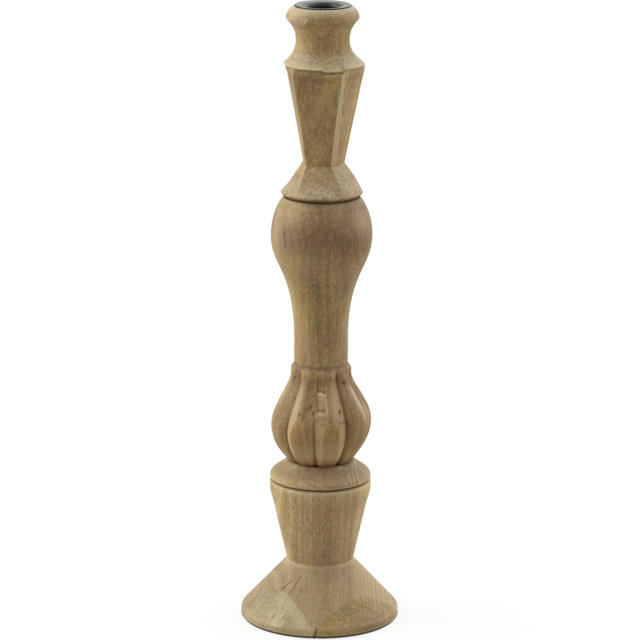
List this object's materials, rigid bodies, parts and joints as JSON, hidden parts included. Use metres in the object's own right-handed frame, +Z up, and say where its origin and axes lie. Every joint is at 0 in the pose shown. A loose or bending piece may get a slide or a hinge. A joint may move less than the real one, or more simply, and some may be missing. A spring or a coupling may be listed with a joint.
{
  "type": "candle stand",
  "caption": "Tall turned wooden candle stand with carved bulb, faceted head, stepped foot and a lift-out metal cup that holds one dinner candle.",
  "frame": {"origin": "centre of the underside, on the turning axis, where the felt meets the table", "axes": "+Z up the turning axis; -Y faces the viewer of the picture, with the paler foot block to the left"},
  "size_m": [0.112, 0.112, 0.44],
  "materials": {
    "felt": "matte",
    "mango_wood": "matte",
    "pale_mango_wood": "matte",
    "dowel_wood": "matte",
    "zinc": "satin"
  },
  "bodies": {
    "stand": {"base_felt": "felt", "pedestal_core": "mango_wood", "foot_block_front_left": "pale_mango_wood", "foot_block_front_right": "mango_wood", "foot_block_back_left": "mango_wood", "foot_block_back_right": "mango_wood", "lower_dowel": "dowel_wood", "baluster": "mango_wood", "upper_dowel": "dowel_wood", "head": "mango_wood"},
    "cup": {"candle_cup": "zinc"}
  },
  "joints": [
    {"name": "cup_lift", "type": "slide", "parent": "stand", "child": "cup", "axis": [0, 0, 1], "range_m": [0, 0.04]}
  ]
}
